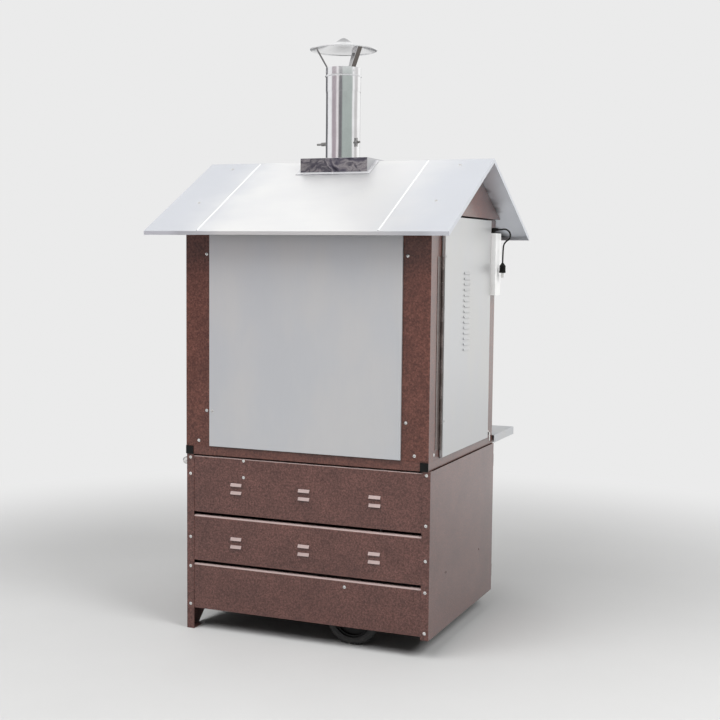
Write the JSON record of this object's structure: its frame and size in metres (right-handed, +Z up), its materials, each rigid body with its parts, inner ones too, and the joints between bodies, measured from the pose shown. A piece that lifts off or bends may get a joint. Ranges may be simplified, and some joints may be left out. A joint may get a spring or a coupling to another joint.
{
  "type": "wood-fired outdoor oven",
  "caption": "Wood-fired outdoor oven on a wheeled steel cabinet, with a pitched roof, capped flue with damper, louvred side door, fire and oven doors, ash drawer and work shelf.",
  "frame": {"origin": "on the floor, under the middle of the oven's bounding box without the lead", "axes": "+X to the wheeled end with the louvred door, +Y out of the doors over the work shelf, +Z up"},
  "size_m": [1.148, 1.153, 2.193],
  "materials": {
    "brown_paint": "hammered brown paint",
    "tube_paint": "brown paint",
    "panel_steel": "satin rolled steel",
    "roof_steel": "bright rolled steel",
    "polished_steel": "polished steel",
    "bright_steel": "plain bright steel",
    "liner_steel": "heat-dulled steel",
    "grate_iron": "bare cast iron",
    "fire_clay": "fired clay",
    "hearth_stone": "smooth fire stone",
    "mineral_wool": "pressed fibre",
    "motor_case": "cast case",
    "black_plastic": "black moulded plastic",
    "tyre_rubber": "black rubber",
    "lead_rubber": "black flexible sheath",
    "box_plastic": "white moulded plastic"
  },
  "bodies": {
    "oven": {"base_frame": "tube_paint", "base_floor": "panel_steel", "base_side_left": "brown_paint", "base_side_right": "brown_paint", "base_panel_top": "brown_paint", "base_panel_middle": "brown_paint", "base_panel_bottom": "brown_paint", "axle": "bright_steel", "axle_brackets": "tube_paint", "lift_handle": "bright_steel", "ring_frame": "tube_paint", "tube_caps": "black_plastic", "body_floor": "panel_steel", "front_shelf": "panel_steel", "back_posts": "brown_paint", "front_posts": "brown_paint", "back_panel": "panel_steel", "left_panel": "panel_steel", "front_panel": "panel_steel", "side_hinge": "bright_steel", "gables": "brown_paint", "roof_left": "roof_steel", "roof_middle": "roof_steel", "roof_right": "roof_steel", "roof_frame": "tube_paint", "flashing_box": "polished_steel", "flue_pipe": "polished_steel", "cap_collar": "polished_steel", "cap_straps": "polished_steel", "rain_cap": "polished_steel", "oven_liner": "liner_steel", "fire_bricks": "fire_clay", "fire_grate": "grate_iron", "hearth_slab": "hearth_stone", "insulation": "mineral_wool", "hinge_pins": "bright_steel", "motor_bracket": "liner_steel", "spit_motor": "motor_case", "control_box": "box_plastic", "lead_gland": "black_plastic", "lead": "lead_rubber", "plug": "black_plastic", "screws": "bright_steel"},
    "wheel_back": {"wheel_rim_back": "black_plastic", "wheel_tyre_back": "tyre_rubber"},
    "wheel_front": {"wheel_rim_front": "black_plastic", "wheel_tyre_front": "tyre_rubber"},
    "damper": {"damper_plate": "bright_steel", "damper_shaft": "bright_steel", "wing_nut": "bright_steel"},
    "side_door": {"side_door": "panel_steel"},
    "turn_latch": {"turn_latch": "bright_steel"},
    "fire_door": {"fire_door": "panel_steel"},
    "oven_door": {"oven_door": "panel_steel"},
    "ash_drawer": {"ash_drawer": "panel_steel"},
    "base_door_left": {"base_door_left": "brown_paint"},
    "base_door_right": {"base_door_right": "brown_paint"},
    "spit": {"spit": "bright_steel"},
    "rocker": {"rocker_switch": "black_plastic"}
  },
  "joints": [
    {"name": "wheel_back_spin", "type": "hinge", "parent": "oven", "child": "wheel_back", "pos_m": [0.17, -0.3755, 0.1], "axis": [0, 1, 0], "continuous": true},
    {"name": "wheel_front_spin", "type": "hinge", "parent": "oven", "child": "wheel_front", "pos_m": [0.17, 0.2185, 0.1], "axis": [0, 1, 0], "continuous": true},
    {"name": "damper_turn", "type": "hinge", "parent": "oven", "child": "damper", "pos_m": [-0.017, -0.0785, 1.806], "axis": [0.9511, -0.309, 0], "range_deg": [0, 90]},
    {"name": "side_door_hinge", "type": "hinge", "parent": "oven", "child": "side_door", "pos_m": [0.4785, -0.3525, 1.1], "axis": [0, 0, -1], "range_deg": [0, 110]},
    {"name": "latch_turn", "type": "hinge", "parent": "oven", "child": "turn_latch", "pos_m": [0.472, 0.2105, 0.705], "axis": [-1, 0, 0], "range_deg": [0, 90]},
    {"name": "fire_door_hinge", "type": "hinge", "parent": "oven", "child": "fire_door", "pos_m": [-0.2115, 0.3145, 0.8448], "axis": [0, 0, 1], "range_deg": [0, 110]},
    {"name": "oven_door_hinge", "type": "hinge", "parent": "oven", "child": "oven_door", "pos_m": [-0.3265, 0.3145, 1.1583], "axis": [0, 0, 1], "range_deg": [0, 110]},
    {"name": "ash_drawer_slide", "type": "slide", "parent": "oven", "child": "ash_drawer", "axis": [0, 1, 0], "range_m": [0, 0.35]},
    {"name": "base_door_left_hinge", "type": "hinge", "parent": "oven", "child": "base_door_left", "pos_m": [-0.4595, 0.3065, 0.365], "axis": [0, 0, 1], "range_deg": [0, 100]},
    {"name": "base_door_right_hinge", "type": "hinge", "parent": "oven", "child": "base_door_right", "pos_m": [0.4695, 0.3065, 0.365], "axis": [0, 0, -1], "range_deg": [0, 100]},
    {"name": "spit_spin", "type": "hinge", "parent": "oven", "child": "spit", "pos_m": [-0.017, -0.0785, 1.17], "axis": [1, 0, 0], "continuous": true},
    {"name": "rocker_tilt", "type": "hinge", "parent": "oven", "child": "rocker", "pos_m": [0.4845, 0.2735, 1.39], "axis": [1, 0, 0], "range_deg": [0, 14]}
  ]
}
